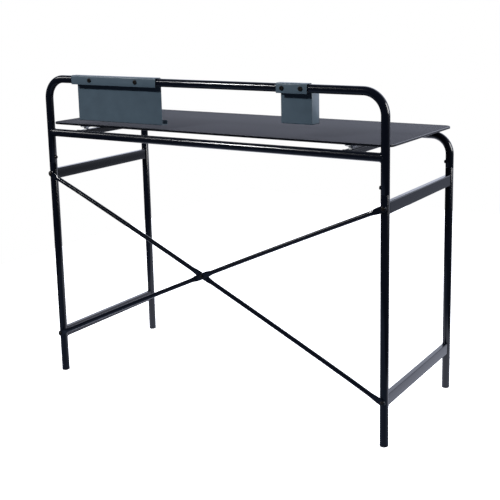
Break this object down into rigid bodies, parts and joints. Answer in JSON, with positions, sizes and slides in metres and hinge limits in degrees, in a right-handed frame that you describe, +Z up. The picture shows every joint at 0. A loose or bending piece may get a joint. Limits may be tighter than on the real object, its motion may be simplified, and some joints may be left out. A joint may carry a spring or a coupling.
{
  "type": "writing and drafting table",
  "caption": "Narrow smoked-glass work table on a knock-down steel tube frame with a cross brace, a raised back rail, and a document holder and pen box clamped on the rail.",
  "frame": {"origin": "on the floor, midway between the four feet, which is the bottom centre of the whole object to within 6 mm", "axes": "+Z up; +X along the desk towards the user's right hand, the end with the document holder; +Y to the rear, where the raised rail and the cross brace are; the user sits on the -Y side"},
  "size_m": [1.078, 0.4473, 0.8893],
  "materials": {
    "smoked_glass": "opaque smoked tempered glass with a satin upper face",
    "black_enamel": "glossy blue-black powder coat on steel tube",
    "slate_paint": "fine matt slate powder coat on sheet steel",
    "black_screw": "black oxide",
    "bright_zinc": "bright zinc",
    "black_plastic": "satin moulded",
    "clear_vinyl": "clear soft vinyl"
  },
  "bodies": {
    "frame": {"glass_top": "smoked_glass", "rear_hoop": "black_enamel", "front_hoop": "black_enamel", "rear_cross_rail": "black_enamel", "outer_brace": "black_enamel", "inner_brace": "black_enamel", "front_leg_right": "black_enamel", "foot_cap_front_right": "black_plastic", "joint_sleeve_front_right": "bright_zinc", "joint_screw_front_right": "black_screw", "suction_cup_front_right": "clear_vinyl", "cup_screw_front_right": "black_screw", "front_leg_left": "black_enamel", "foot_cap_front_left": "black_plastic", "joint_sleeve_front_left": "bright_zinc", "joint_screw_front_left": "black_screw", "suction_cup_front_left": "clear_vinyl", "cup_screw_front_left": "black_screw", "rear_leg_right": "black_enamel", "foot_cap_rear_right": "black_plastic", "joint_sleeve_rear_right": "bright_zinc", "joint_screw_rear_right": "black_screw", "suction_cup_rear_right": "clear_vinyl", "cup_screw_rear_right": "black_screw", "rear_leg_left": "black_enamel", "foot_cap_rear_left": "black_plastic", "joint_sleeve_rear_left": "bright_zinc", "joint_screw_rear_left": "black_screw", "suction_cup_rear_left": "clear_vinyl", "cup_screw_rear_left": "black_screw", "lower_stretcher_right": "black_enamel", "upper_stretcher_right": "black_enamel", "support_rail_right": "black_enamel", "lower_stretcher_left": "black_enamel", "upper_stretcher_left": "black_enamel", "support_rail_left": "black_enamel", "brace_bolt_lower_left": "black_screw", "rivet_nut_lower_left": "bright_zinc", "brace_bolt_lower_right": "black_screw", "rivet_nut_lower_right": "bright_zinc", "brace_bolt_upper_left": "black_screw", "rivet_nut_upper_left": "bright_zinc", "brace_bolt_upper_right": "black_screw", "rivet_nut_upper_right": "bright_zinc", "brace_centre_bolt": "black_screw", "brace_centre_nut": "black_screw"},
    "document_holder_body": {"document_holder": "slate_paint", "document_holder_screw_a": "black_screw", "document_holder_screw_b": "black_screw"},
    "pen_box_body": {"pen_box": "slate_paint", "pen_box_screw_a": "black_screw", "pen_box_screw_b": "black_screw"}
  },
  "joints": [
    {"name": "document_holder_slide", "type": "slide", "parent": "frame", "child": "document_holder_body", "axis": [1, 0, 0], "range_m": [-0.13, 0.038]},
    {"name": "pen_box_slide", "type": "slide", "parent": "frame", "child": "pen_box_body", "axis": [1, 0, 0], "range_m": [-0.14, 0.23]}
  ]
}
